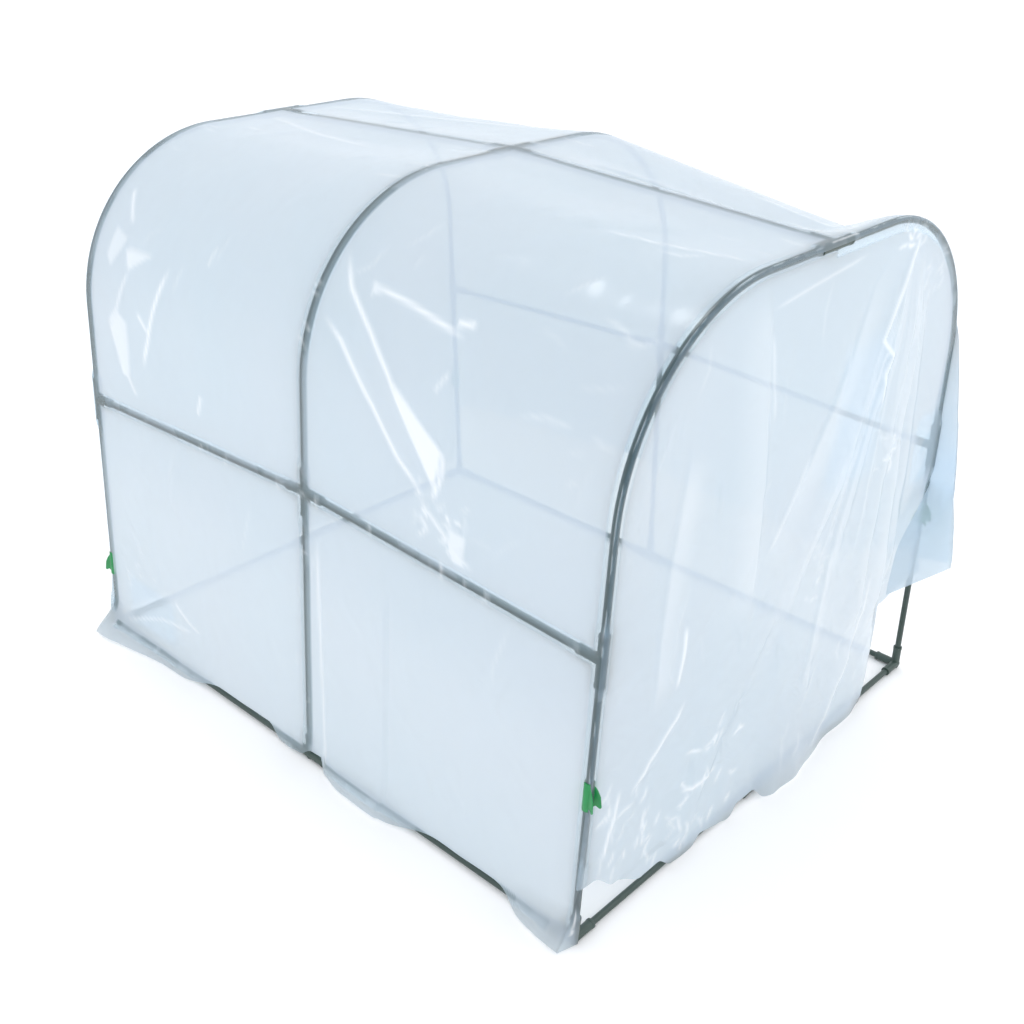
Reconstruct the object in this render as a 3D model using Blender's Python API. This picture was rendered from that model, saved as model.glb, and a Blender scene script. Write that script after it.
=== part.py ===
"""A small hoop greenhouse: a push-fit frame of thin coated tubes under a loose film cover.

X runs across the tunnel, Y along it with the front end at -Y, and Z is up. The origin is on the
ground at the middle of the footprint. Lengths are in metres.
"""

import math

import bmesh
import bpy
from mathutils import Matrix, Vector

# Frame
HALF_WIDTH = 0.485  # from the centre plane to the axis of a ground side rail
BAY = 0.600  # from one hoop to the next
TEE_HALF_WIDTH = 0.461  # from the centre plane to a mid-height connector
TEE_HEIGHT = 0.477  # mid-height connectors of the end hoops, above the ground rails
RIDGE_HEIGHT = 0.933  # ridge of the end hoops, above the ground rails
MIDDLE_RISE = 0.026  # how much higher the middle hoop stands
SHOULDER_RADIUS = 0.290  # bend of a hoop tube, on its axis
SHOULDER_STEPS = 10

# Tubes and their sockets
TUBE_RADIUS = 0.0055
TUBE_WALL = 0.0008
SOCKET_RADIUS = 0.0081
SOCKET_REACH = 0.040  # from a connector's centre to the mouth of its socket
COUPLER_REACH = 0.050
FIT_GAP = 0.0003
TUBE_STOP = 0.0100  # from a connector's centre to the end of the tube in it
BORE_STOP = TUBE_STOP - 0.0005
BORE_OVERRUN = 0.010  # how far a bore's cutter runs past the mouth of its socket
STUB = 0.9 * SOCKET_RADIUS  # how far a socket's body runs past the centre
SOCKET_STEP = 0.0001  # each socket of a connector is this much slimmer than the one before
FOOT_RADIUS = 0.0060
FOOT_STAND = 0.0004  # the foot pad stands this far below the sockets
AXIS_HEIGHT = SOCKET_RADIUS + FOOT_STAND
SIDES = 12
SHARP_ANGLE = math.radians(40)

# Film clips: a split sleeve with two finger lobes
CLIP_LENGTH = 0.047
CLIP_BORE = TUBE_RADIUS + 0.0006
CLIP_WALL = 0.0017
CLIP_OPENING = math.radians(84)
CLIP_STEPS = 11
LOBE_LENGTH = 0.0125
LOBE_THICKNESS = 0.0016
LOBE_FLARE = math.radians(24)
# A lobe's edges: distance from the lip as a share of its length, height as a share of the clip's
LOBE_UPPER_EDGE = [(-0.05, 0.40), (0.45, 0.22), (0.85, 0.00), (1.00, -0.20)]
LOBE_LOWER_EDGE = [(-0.05, -0.42), (0.35, -0.32), (0.72, -0.46), (0.92, -0.42)]
CLIP_HEIGHTS = {
    "front_left": 0.260,
    "front_right": 0.342,
    "back_left": 0.133,
    "back_right": 0.250,
}

# Film
FILM_THICKNESS = 0.0005
FILM_OFFSET = 0.0090  # from the hoop's axis to the inside of the film
FILM_FOOT = 0.505  # half width of the cover at its two lower edges
FILM_LIFT = 0.003  # lowest edge of the film above the ground
RIGHT_HEM = 0.200  # the cover ends this high on the right side
END_OVERHANG = 0.0090  # how far the cover runs past the axis of an end hoop
CURTAIN_GAP = 0.0011
CURTAIN_KICK = 0.048  # how far a curtain's foot stands out from its top
FLAP = CURTAIN_KICK  # the right side's front edge runs this far forward at its hem
FLAP_TOP = 0.740
KICK_TOP = 0.300
LEG_CLEARANCE = 0.016  # from a leg's axis to the edge of a curtain, to pass a clip
TEE_CLEARANCE = 0.012  # a curtain's straight edges start this far below the mid-height tees
LOWER_HEIGHTS = [0.200, 0.130, 0.065, 0.030, FILM_LIFT]  # rows of a curtain below its kick
# How far the front curtain's lower corners are drawn in, at those heights
LEFT_CORNER_CUTS = [0.0, 0.0, 0.0, 0.080, 0.160]
RIGHT_CORNER_CUTS = [0.0, 0.035, 0.062, 0.080, 0.095]

ENDS = {"front": -BAY, "middle": 0.0, "back": BAY}
SIDE_SIGNS = {"left": -1, "right": 1}
CLIP_FACES = {"front": -1, "back": 1}

LEAN = math.atan2(HALF_WIDTH - TEE_HALF_WIDTH, TEE_HEIGHT)
ARC_CENTRE_HEIGHT = RIDGE_HEIGHT - SHOULDER_RADIUS
ARC_CENTRE_X = (
    TEE_HALF_WIDTH
    - (ARC_CENTRE_HEIGHT - TEE_HEIGHT) * math.tan(LEAN)
    - SHOULDER_RADIUS / math.cos(LEAN)
)


def rise(y):
    """How much higher the frame stands at this place along the tunnel than at its ends."""
    return MIDDLE_RISE * max(0.0, 1 - abs(y) / BAY)


def ground_point(side, end):
    return Vector((SIDE_SIGNS[side] * HALF_WIDTH, ENDS[end], AXIS_HEIGHT))


def tee_point(side, end):
    y = ENDS[end]
    height = AXIS_HEIGHT + TEE_HEIGHT + rise(y)
    return Vector((SIDE_SIGNS[side] * TEE_HALF_WIDTH, y, height))


def ridge_point(end):
    y = ENDS[end]
    return Vector((0, y, AXIS_HEIGHT + RIDGE_HEIGHT + rise(y)))


def coupler_point(end):
    return Vector((0, ENDS[end], AXIS_HEIGHT))


def make_material(name, colour, roughness, metallic=0.0, alpha=1.0):
    material = bpy.data.materials.new(name)
    material.use_nodes = True
    shader = material.node_tree.nodes["Principled BSDF"]
    shader.inputs["Base Color"].default_value = (*colour, 1)
    shader.inputs["Roughness"].default_value = roughness
    shader.inputs["Metallic"].default_value = metallic
    shader.inputs["Alpha"].default_value = alpha
    return material


def new_object(name, mesh, material=None):
    thing = bpy.data.objects.new(name, mesh)
    bpy.context.scene.collection.objects.link(thing)
    if material and not mesh.materials:
        mesh.materials.append(material)
    return thing


def mesh_from(form, name):
    """Turns a bmesh into a smooth-shaded mesh with its faces pointing out."""
    bmesh.ops.recalc_face_normals(form, faces=form.faces)
    mesh = bpy.data.meshes.new(name)
    form.to_mesh(mesh)
    form.free()
    mesh.shade_smooth()
    mesh.set_sharp_from_angle(angle=SHARP_ANGLE)
    return mesh


def boolean(target, tool, operation):
    """Joins the tool to the target, or cuts it away, and removes the tool."""
    modifier = target.modifiers.new(operation, "BOOLEAN")
    modifier.operation = operation
    modifier.solver = "EXACT"
    modifier.object = tool
    bpy.context.view_layer.update()
    graph = bpy.context.evaluated_depsgraph_get()
    result = bpy.data.meshes.new_from_object(target.evaluated_get(graph))
    target.modifiers.clear()
    target.data = result
    bpy.data.objects.remove(tool)


# Tubes


def swept_tube(points, across, name):
    """A hollow tube with open ends along points. across is a direction square to all of them."""
    form = bmesh.new()
    rings = []
    ways = [(after - point).normalized() for point, after in zip(points, points[1:])]
    for point, along_in, along_out in zip(points, ways[:1] + ways, ways + ways[-1:]):
        normal = across.cross((along_in + along_out).normalized())
        stretch = 1 / math.sqrt((1 + along_in.dot(along_out)) / 2)
        for radius in (TUBE_RADIUS, TUBE_RADIUS - TUBE_WALL):
            ring = []
            for step in range(SIDES):
                turn = math.tau * (step + 0.5) / SIDES
                offset = across * math.cos(turn) + normal * math.sin(turn) * stretch
                ring.append(form.verts.new(point + offset * radius))
            rings.append(ring)
    outer, inner = rings[0::2], rings[1::2]
    bands = list(zip(outer, outer[1:])) + list(zip(inner, inner[1:]))
    bands += [(outer[0], inner[0]), (outer[-1], inner[-1])]
    for first, second in bands:
        for step in range(SIDES):
            following = (step + 1) % SIDES
            form.faces.new((first[step], first[following], second[following], second[step]))
    return mesh_from(form, name)


def place_straight_tube(name, start, end, length, material, meshes):
    """A straight tube midway between two connector centres. Tubes of one length share a mesh."""
    key = round(length, 6)
    if key not in meshes:
        points = [Vector((0, 0, -length / 2)), Vector((0, 0, length / 2))]
        meshes[key] = swept_tube(points, Vector((1, 0, 0)), "straight_tube")
    tube = new_object(name, meshes[key], material)
    tube.location = (start + end) / 2
    tube.rotation_euler = (end - start).to_track_quat("Z", "Y").to_euler()


def half_hoop_mesh():
    """The bent tube on the +X side, from its mid-height connector to the ridge, about the former."""
    lower = Vector((TEE_HALF_WIDTH, 0, TEE_HEIGHT))
    points = [lower + TUBE_STOP * Vector((-math.sin(LEAN), 0, math.cos(LEAN)))]
    for step in range(SHOULDER_STEPS + 1):
        turn = LEAN + (math.pi / 2 - LEAN) * step / SHOULDER_STEPS
        x = ARC_CENTRE_X + SHOULDER_RADIUS * math.cos(turn)
        points.append(Vector((x, 0, ARC_CENTRE_HEIGHT + SHOULDER_RADIUS * math.sin(turn))))
    points.append(Vector((TUBE_STOP, 0, RIDGE_HEIGHT)))
    return swept_tube([point - lower for point in points], Vector((0, 1, 0)), "half_hoop")


def build_tubes(material):
    meshes = {}

    def rail(name, start, end):
        place_straight_tube(name, start, end, (end - start).length - 2 * TUBE_STOP, material, meshes)

    hoop = half_hoop_mesh()
    leg_length = (tee_point("left", "front") - ground_point("left", "front")).length - 2 * TUBE_STOP
    for side, sign in SIDE_SIGNS.items():
        for end in ENDS:
            foot, tee = ground_point(side, end), tee_point(side, end)
            place_straight_tube(f"leg_{end}_{side}", foot, tee, leg_length, material, meshes)
            half = new_object(f"hoop_{end}_{side}", hoop, material)
            half.location = tee
            half.rotation_euler.z = 0 if sign > 0 else math.pi
        for end in ("front", "back"):
            rail(f"ground_rail_{end}_{side}", ground_point(side, end), ground_point(side, "middle"))
            rail(f"side_rail_{end}_{side}", tee_point(side, end), tee_point(side, "middle"))
            rail(f"end_rail_{end}_{side}", ground_point(side, end), coupler_point(end))
    for end in ("front", "back"):
        rail(f"ridge_rail_{end}", ridge_point(end), ridge_point("middle"))


# Connectors


def rod(start, end, radius):
    """A solid round rod as a helper object for a Boolean."""
    form = bmesh.new()
    turn = (end - start).to_track_quat("Z", "Y").to_matrix().to_4x4()
    bmesh.ops.create_cone(
        form,
        cap_ends=True,
        segments=SIDES,
        radius1=radius,
        radius2=radius,
        depth=(end - start).length,
        matrix=Matrix.Translation((start + end) / 2) @ turn,
    )
    return new_object("helper", mesh_from(form, "helper"))


def place_connector(name, centre, neighbours, material, reach=SOCKET_REACH, foot=False):
    """A moulded fitting with one socket towards each neighbouring point, bored to a stop."""
    directions = [(point - centre).normalized() for point in neighbours]
    first, *others = [
        rod(-STUB * way, reach * way, SOCKET_RADIUS - SOCKET_STEP * index)
        for index, way in enumerate(directions)
    ]
    for other in others:
        boolean(first, other, "UNION")
    if foot:
        boolean(first, rod(Vector((0, 0, -AXIS_HEIGHT)), Vector((0, 0, 0)), FOOT_RADIUS), "UNION")
    for way in directions:
        bore = rod(BORE_STOP * way, (reach + BORE_OVERRUN) * way, TUBE_RADIUS + FIT_GAP)
        boolean(first, bore, "DIFFERENCE")
    first.name = name
    first.data.name = name
    first.location = centre
    first.data.materials.clear()
    first.data.materials.append(material)
    first.data.shade_smooth()
    first.data.set_sharp_from_angle(angle=SHARP_ANGLE)


def hoop_approach(side, end):
    """A point on the straight lower stretch of a half hoop, which sets its socket's direction."""
    sign = SIDE_SIGNS[side]
    return tee_point(side, end) + Vector((-sign * math.sin(LEAN), 0, math.cos(LEAN)))


def build_connectors(material):
    left, right = Vector((-1, 0, 0)), Vector((1, 0, 0))
    for end in ("front", "back"):
        for side in SIDE_SIGNS:
            centre = ground_point(side, end)
            ways = [coupler_point(end), ground_point(side, "middle"), tee_point(side, end)]
            place_connector(f"corner_{end}_{side}", centre, ways, material, foot=True)
            centre = tee_point(side, end)
            ways = [hoop_approach(side, end), ground_point(side, end), tee_point(side, "middle")]
            place_connector(f"tee_{end}_{side}", centre, ways, material)
        centre = coupler_point(end)
        ways = [centre + left, centre + right]
        place_connector(f"coupler_{end}", centre, ways, material, COUPLER_REACH, foot=True)
        centre = ridge_point(end)
        ways = [centre + left, centre + right, ridge_point("middle")]
        place_connector(f"ridge_tee_{end}", centre, ways, material)
    for side in SIDE_SIGNS:
        centre = ground_point(side, "middle")
        ways = [ground_point(side, "front"), ground_point(side, "back"), tee_point(side, "middle")]
        place_connector(f"ground_tee_{side}", centre, ways, material, foot=True)
        centre = tee_point(side, "middle")
        ways = [hoop_approach(side, "middle"), ground_point(side, "middle")]
        ways += [tee_point(side, "front"), tee_point(side, "back")]
        place_connector(f"cross_{side}", centre, ways, material)
    centre = ridge_point("middle")
    ways = [centre + left, centre + right, ridge_point("front"), ridge_point("back")]
    place_connector("ridge_cross", centre, ways, material)


# Film clips


def prism(first_edge, second_edge, push):
    """A solid between a flat strip, given by its two edges, and its copy moved by push."""
    form = bmesh.new()
    first = [form.verts.new(point) for point in first_edge]
    second = [form.verts.new(point) for point in second_edge]
    strip = [
        form.faces.new((first[index], first[index + 1], second[index + 1], second[index]))
        for index in range(len(first) - 1)
    ]
    pushed = bmesh.ops.extrude_face_region(form, geom=strip)["geom"]
    corners = [item for item in pushed if isinstance(item, bmesh.types.BMVert)]
    bmesh.ops.translate(form, verts=corners, vec=push)
    return new_object("helper", mesh_from(form, "helper"))


def clip_mesh(material):
    """A film clip along Z about the tube's axis, open towards +X."""
    turns = [
        CLIP_OPENING / 2 + (math.tau - CLIP_OPENING) * step / CLIP_STEPS
        for step in range(CLIP_STEPS + 1)
    ]
    base = -CLIP_LENGTH / 2
    outer, inner = [
        [Vector((radius * math.cos(turn), radius * math.sin(turn), base)) for turn in turns]
        for radius in (CLIP_BORE + CLIP_WALL, CLIP_BORE)
    ]
    sleeve = prism(outer, inner, Vector((0, 0, CLIP_LENGTH)))
    for sign in (-1, 1):
        root = CLIP_BORE + CLIP_WALL / 2
        lip = Vector((math.cos(CLIP_OPENING / 2), sign * math.sin(CLIP_OPENING / 2), 0)) * root
        out = Vector((math.cos(LOBE_FLARE), sign * math.sin(LOBE_FLARE), 0))
        across = out.cross(Vector((0, 0, 1))) * LOBE_THICKNESS
        upper, lower = [
            [
                lip + out * (LOBE_LENGTH * away) + Vector((0, 0, CLIP_LENGTH * height)) - across / 2
                for away, height in edge
            ]
            for edge in (LOBE_UPPER_EDGE, LOBE_LOWER_EDGE)
        ]
        boolean(sleeve, prism(upper, lower, across), "UNION")
    mesh = sleeve.data
    bpy.data.objects.remove(sleeve)
    mesh.name = "film_clip"
    mesh.materials.clear()
    mesh.materials.append(material)
    return mesh


def build_clips(material):
    mesh = clip_mesh(material)
    for end, face in CLIP_FACES.items():
        for side in SIDE_SIGNS:
            foot = ground_point(side, end)
            along = (tee_point(side, end) - foot).normalized()
            opening = Vector((0, face, 0))
            turn = Matrix((opening, along.cross(opening), along)).transposed()
            clip = new_object(f"clip_{end}_{side}", mesh)
            clip.location = foot + along * CLIP_HEIGHTS[f"{end}_{side}"]
            clip.rotation_euler = turn.to_euler()


# Film


def film_profile(y):
    """The cover's inner outline at this place along the tunnel, from the left hem to the right."""
    height = AXIS_HEIGHT + rise(y)
    tee_x = TEE_HALF_WIDTH + FILM_OFFSET
    arc = []
    for step in range(SHOULDER_STEPS + 1):
        turn = LEAN + (math.pi / 2 - LEAN) * step / SHOULDER_STEPS
        radius = SHOULDER_RADIUS + FILM_OFFSET
        x = ARC_CENTRE_X + radius * math.cos(turn)
        arc.append((x, height + ARC_CENTRE_HEIGHT + radius * math.sin(turn)))
    left = [(-FILM_FOOT, FILM_LIFT), (-tee_x, height + TEE_HEIGHT)] + [(-x, z) for x, z in arc]
    right = list(reversed(arc)) + [(tee_x, height + TEE_HEIGHT), (FILM_FOOT, RIGHT_HEM)]
    return left + right


def film_object(name, rows, outward, material):
    """A thin closed shell over a grid of points. outward is a direction that its outside faces."""
    form = bmesh.new()
    grid = [[form.verts.new(point) for point in row] for row in rows]
    for row, following in zip(grid, grid[1:]):
        for index in range(len(row) - 1):
            form.faces.new((row[index], row[index + 1], following[index + 1], following[index]))
    bmesh.ops.recalc_face_normals(form, faces=form.faces)
    form.faces.ensure_lookup_table()
    if form.faces[0].normal.dot(outward) < 0:
        bmesh.ops.reverse_faces(form, faces=form.faces)
    mesh = bpy.data.meshes.new(name)
    form.to_mesh(mesh)
    form.free()
    sheet = new_object(name, mesh, material)
    solidify = sheet.modifiers.new("thickness", "SOLIDIFY")
    solidify.thickness = FILM_THICKNESS
    solidify.offset = 1
    return sheet


def build_cover(material):
    """The film over the roof and sides: down to the ground on the left, short on the right."""
    length = BAY + END_OVERHANG
    rows = []
    for y in (-length, 0.0, length):
        row = []
        for x, z in film_profile(y):
            forward = 0.0
            if y < 0 < x and z < FLAP_TOP:
                forward = FLAP * (FLAP_TOP - z) / (FLAP_TOP - RIGHT_HEM)
            row.append(Vector((x, y - forward, z)))
        rows.append(row)
    film_object("film_cover", rows, Vector((-1, 0, 0)), material)


def curtain_rows(left_edge, right_edge):
    """Rows of (left edge, right edge, height), from a curtain's top to its foot."""
    right_half = film_profile(-BAY)[-SHOULDER_STEPS - 3 : -1]
    rows = [(-x, x, z) for x, z in right_half]
    rows += [(left, right, z) for (left, z), (right, _) in zip(left_edge, right_edge)]
    return rows


def build_curtain(name, face, left_edge, right_edge, material):
    """The film that hangs at one end. It is its own body, with its origin on its lifting axis."""
    top = AXIS_HEIGHT + RIDGE_HEIGHT + FILM_OFFSET
    plane = BAY + END_OVERHANG + CURTAIN_GAP
    rows = []
    for left, right, z in curtain_rows(left_edge, right_edge):
        kick = CURTAIN_KICK * max(0.0, 1 - z / KICK_TOP) ** 2
        y = face * (plane + kick)
        rows.append([Vector((x, y - face * plane, z - top)) for x in (left, right)])
    sheet = film_object(name, rows, Vector((0, face, 0)), material)
    sheet.location = (0, face * plane, top)


def leg_edge(z):
    """Half width that a curtain keeps at this height, so that it clears the legs and clips."""
    return HALF_WIDTH - (z - AXIS_HEIGHT) * math.tan(LEAN) - LEG_CLEARANCE


def build_film(material):
    build_cover(material)
    upper_heights = [AXIS_HEIGHT + TEE_HEIGHT - TEE_CLEARANCE, KICK_TOP]
    full = [(leg_edge(z), z) for z in upper_heights + LOWER_HEIGHTS]
    no_cuts = [0.0] * len(upper_heights)
    left = [(-(x - cut), z) for (x, z), cut in zip(full, no_cuts + LEFT_CORNER_CUTS)]
    right = [(x - cut, z) for (x, z), cut in zip(full, no_cuts + RIGHT_CORNER_CUTS)]
    build_curtain("front_curtain", -1, left, right, material)
    build_curtain("back_curtain", 1, [(-x, z) for x, z in full], full, material)


def main():
    for thing in list(bpy.data.objects):
        bpy.data.objects.remove(thing)
    tube_green = make_material("coated_tube", (0.050, 0.083, 0.072), 0.42)
    fitting_green = make_material("moulded_fitting", (0.062, 0.098, 0.085), 0.50)
    clip_green = make_material("clip_plastic", (0.028, 0.350, 0.115), 0.38)
    clear_film = make_material("clear_film", (0.80, 0.88, 0.94), 0.20, alpha=0.35)
    build_tubes(tube_green)
    build_connectors(fitting_green)
    build_clips(clip_green)
    build_film(clear_film)


main()
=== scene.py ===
"""Looks for the small hoop greenhouse: fine tubes, fittings and clips, and the draped film.

X runs across the tunnel, Y along it with the front end at -Y, and Z is up, in metres. The lines of
the frame are worked out from the boxes of the CAD nodes. The film's folds and creases are listed one by one,
on flat coordinates over each sheet.
"""

import math

import bmesh
import bpy
import numpy as np
from mathutils import Matrix, Vector


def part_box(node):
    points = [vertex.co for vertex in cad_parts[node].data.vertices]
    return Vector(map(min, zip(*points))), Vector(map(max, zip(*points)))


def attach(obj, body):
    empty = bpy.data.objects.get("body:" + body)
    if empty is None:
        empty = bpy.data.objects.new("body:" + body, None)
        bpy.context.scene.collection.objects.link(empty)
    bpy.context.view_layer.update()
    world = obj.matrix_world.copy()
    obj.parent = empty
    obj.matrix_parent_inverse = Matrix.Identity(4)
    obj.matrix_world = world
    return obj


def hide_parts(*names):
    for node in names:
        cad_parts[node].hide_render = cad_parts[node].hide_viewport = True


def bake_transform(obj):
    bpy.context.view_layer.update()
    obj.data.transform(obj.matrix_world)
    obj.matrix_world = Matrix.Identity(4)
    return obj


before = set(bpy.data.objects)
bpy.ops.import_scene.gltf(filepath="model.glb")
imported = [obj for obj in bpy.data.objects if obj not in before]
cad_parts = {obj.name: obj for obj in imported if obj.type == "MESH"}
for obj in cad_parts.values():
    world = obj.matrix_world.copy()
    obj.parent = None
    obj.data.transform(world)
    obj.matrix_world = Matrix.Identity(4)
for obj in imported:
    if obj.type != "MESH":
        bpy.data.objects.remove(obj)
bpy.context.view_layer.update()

# Sizes that the boxes of the CAD nodes don't give
TUBE_RADIUS = 0.0055
TUBE_WALL = 0.0008
TUBE_SIDES = 28
TUBE_STOP = 0.01  # from a fitting's centre to the end of the tube in it
SHOULDER_RADIUS = 0.29
ARC_STEPS = 48
SOCKET_RADIUS = 0.0077
RIM_RADIUS = 0.0083
RIM_LENGTH = 0.0045
SOCKET_REACH = 0.04
COUPLER_REACH = 0.05
BORE_RADIUS = TUBE_RADIUS + 0.0002
BORE_STOP = TUBE_STOP - 0.0005
FITTING_SIDES = 32
FOOT_RADIUS = 0.006

CLIP_LENGTH = 0.047
CLIP_BORE = TUBE_RADIUS + 0.0006
CLIP_WALL = 0.0017
CLIP_OPENING = math.radians(84)

SIDE_SIGNS = {"left": -1, "right": 1}
SHARP = math.radians(40)


def centre_of(node):
    low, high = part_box(node)
    return (low + high) / 2


# Lines of the frame, from the rails
HALF_WIDTH = centre_of("ground_rail_front_right").x
TEE_X = centre_of("side_rail_front_right").x
BAY = -centre_of("end_rail_front_left").y
AXIS_HEIGHT = centre_of("end_rail_front_left").z
rail_low, rail_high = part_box("side_rail_front_right")
RAIL_DEPTH = rail_high.x - rail_low.x
RISE = (rail_high.z - rail_low.z - RAIL_DEPTH) * BAY / (BAY - 2 * TUBE_STOP)
TEE_Z = centre_of("side_rail_front_right").z - RISE / 2
RIDGE_Z = centre_of("ridge_rail_front").z - RISE / 2
LEAN = math.atan2(HALF_WIDTH - TEE_X, TEE_Z - AXIS_HEIGHT)
ARC_Z = RIDGE_Z - SHOULDER_RADIUS
ARC_X = TEE_X - (ARC_Z - TEE_Z) * math.tan(LEAN) - SHOULDER_RADIUS / math.cos(LEAN)
ENDS = {"front": -BAY, "middle": 0.0, "back": BAY}
OUTER_ENDS = {"front": -1, "back": 1}

# Distances along a half hoop, from the ridge down to the ground
CROWN_LENGTH = ARC_X
ARC_LENGTH = SHOULDER_RADIUS * (math.pi / 2 - LEAN)
ARC_END = CROWN_LENGTH + ARC_LENGTH
ARC_END_Z = ARC_Z + SHOULDER_RADIUS * math.sin(LEAN)
ARC_END_X = ARC_X + SHOULDER_RADIUS * math.cos(LEAN)
TEE_AT = ARC_END + (ARC_END_Z - TEE_Z) / math.cos(LEAN)
GROUND_AT = TEE_AT + (TEE_Z - AXIS_HEIGHT) / math.cos(LEAN)


def rise(y):
    """How much higher the frame stands at this place along the tunnel than at its ends."""
    return RISE * np.clip(1 - np.abs(y) / BAY, 0, 1)


def hoop_line(along):
    """Points (x, z) and outward normals of the right half of an end hoop, at distances from the ridge."""
    along = np.asarray(along, float)
    turn = np.clip((along - CROWN_LENGTH) / SHOULDER_RADIUS, 0, math.pi / 2 - LEAN)
    before = np.minimum(along, CROWN_LENGTH)
    after = np.maximum(along - ARC_END, 0)
    x = before + SHOULDER_RADIUS * np.sin(turn) + after * math.sin(LEAN)
    z = ARC_Z + SHOULDER_RADIUS * np.cos(turn) - after * math.cos(LEAN)
    return x, z, np.sin(turn), np.cos(turn)


def along_at_height(z):
    """Distance from the ridge to this height on the straight lower stretch of an end hoop."""
    return TEE_AT + (TEE_Z - z) / math.cos(LEAN)


def ground_point(side, end):
    return Vector((SIDE_SIGNS[side] * HALF_WIDTH, ENDS[end], AXIS_HEIGHT))


def tee_point(side, end):
    return Vector((SIDE_SIGNS[side] * TEE_X, ENDS[end], TEE_Z + float(rise(ENDS[end]))))


def ridge_point(end):
    return Vector((0, ENDS[end], RIDGE_Z + float(rise(ENDS[end]))))


def coupler_point(end):
    return Vector((0, ENDS[end], AXIS_HEIGHT))


# Meshes


def new_object(name, data):
    thing = bpy.data.objects.new(name, data)
    bpy.context.scene.collection.objects.link(thing)
    return thing


def add_object(name, mesh, material):
    thing = new_object(name, mesh)
    mesh.materials.clear()
    mesh.materials.append(material)
    return thing


def finished_mesh(form, name):
    bmesh.ops.recalc_face_normals(form, faces=form.faces)
    mesh = bpy.data.meshes.new(name)
    form.to_mesh(mesh)
    form.free()
    mesh.shade_smooth()
    mesh.set_sharp_from_angle(angle=SHARP)
    return mesh


def settle(thing, body, node):
    """Ties a finished piece to its body, and hides the CAD node that it stands for."""
    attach(thing, body)
    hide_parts(node)


def modified_mesh(thing):
    """A new mesh with the object's modifiers applied."""
    bpy.context.view_layer.update()
    graph = bpy.context.evaluated_depsgraph_get()
    return bpy.data.meshes.new_from_object(thing.evaluated_get(graph))


def join(target, tool):
    """Joins the tool's solid to the target's, and removes the tool."""
    modifier = target.modifiers.new("union", "BOOLEAN")
    modifier.operation = "UNION"
    modifier.solver = "EXACT"
    modifier.object = tool
    result = modified_mesh(target)
    target.modifiers.clear()
    target.data = result
    bpy.data.objects.remove(tool)


def tube_mesh(points, across, name):
    """A hollow round tube along points that lie in the plane square to across."""
    form = bmesh.new()
    ways = [(after - point).normalized() for point, after in zip(points, points[1:])]
    walls = {TUBE_RADIUS: [], TUBE_RADIUS - TUBE_WALL: []}
    for point, way_in, way_out in zip(points, ways[:1] + ways, ways + ways[-1:]):
        normal = across.cross((way_in + way_out).normalized())
        for radius, rings in walls.items():
            turns = [math.tau * step / TUBE_SIDES for step in range(TUBE_SIDES)]
            offsets = [across * math.cos(turn) + normal * math.sin(turn) for turn in turns]
            rings.append([form.verts.new(point + offset * radius) for offset in offsets])
    outer, inner = walls.values()
    bands = list(zip(outer, outer[1:])) + list(zip(inner, inner[1:]))
    bands += [(outer[0], inner[0]), (outer[-1], inner[-1])]
    for first, second in bands:
        for step in range(TUBE_SIDES):
            after = (step + 1) % TUBE_SIDES
            form.faces.new((first[step], first[after], second[after], second[step]))
    return finished_mesh(form, name)


def place_tube(name, points, across, material):
    tube = add_object(f"{name}_tube", tube_mesh(points, across, name), material)
    settle(tube, "frame", name)


def straight_tube(name, start, end, material):
    way = (end - start).normalized()
    across = Vector((0, 0, 1)).cross(way)
    across = across.normalized() if across.length > 0.5 else Vector((0, 1, 0))
    place_tube(name, [start + way * TUBE_STOP, end - way * TUBE_STOP], across, material)


def hoop_tube(side, end, material):
    sign, lift = SIDE_SIGNS[side], float(rise(ENDS[end]))
    arc = [CROWN_LENGTH + ARC_LENGTH * step / ARC_STEPS for step in range(ARC_STEPS + 1)]
    x, z, _, _ = hoop_line([TUBE_STOP] + arc + [TEE_AT - TUBE_STOP])
    points = [Vector((sign * px, ENDS[end], pz + lift)) for px, pz in zip(x, z)]
    place_tube(f"hoop_{end}_{side}", points, Vector((0, 1, 0)), material)


def build_tubes(material):
    for side in SIDE_SIGNS:
        for end in ENDS:
            straight_tube(f"leg_{end}_{side}", ground_point(side, end), tee_point(side, end), material)
            hoop_tube(side, end, material)
        for end in OUTER_ENDS:
            foot, tee = ground_point(side, end), tee_point(side, end)
            straight_tube(f"ground_rail_{end}_{side}", foot, ground_point(side, "middle"), material)
            straight_tube(f"side_rail_{end}_{side}", tee, tee_point(side, "middle"), material)
            straight_tube(f"end_rail_{end}_{side}", foot, coupler_point(end), material)
    for end in OUTER_ENDS:
        straight_tube(f"ridge_rail_{end}", ridge_point(end), ridge_point("middle"), material)


# Fittings


def turned(profile, way, name, material):
    """A closed solid turned about the line through the origin along way, from (distance, radius) points."""
    form = bmesh.new()
    turn = way.to_track_quat("Z", "Y").to_matrix()
    rings = []
    for away, radius in profile:
        if radius == 0:
            rings.append([form.verts.new(turn @ Vector((0, 0, away)))])
            continue
        ring = []
        for step in range(FITTING_SIDES):
            angle = math.tau * step / FITTING_SIDES
            spot = Vector((radius * math.cos(angle), radius * math.sin(angle), away))
            ring.append(form.verts.new(turn @ spot))
        rings.append(ring)
    for first, second in zip(rings, rings[1:]):
        for step in range(FITTING_SIDES):
            after = (step + 1) % FITTING_SIDES
            corners = [first[step % len(first)], first[after % len(first)]]
            corners += [second[after % len(second)], second[step % len(second)]]
            form.faces.new(list(dict.fromkeys(corners)))
    return add_object(name, finished_mesh(form, name), material)


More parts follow.
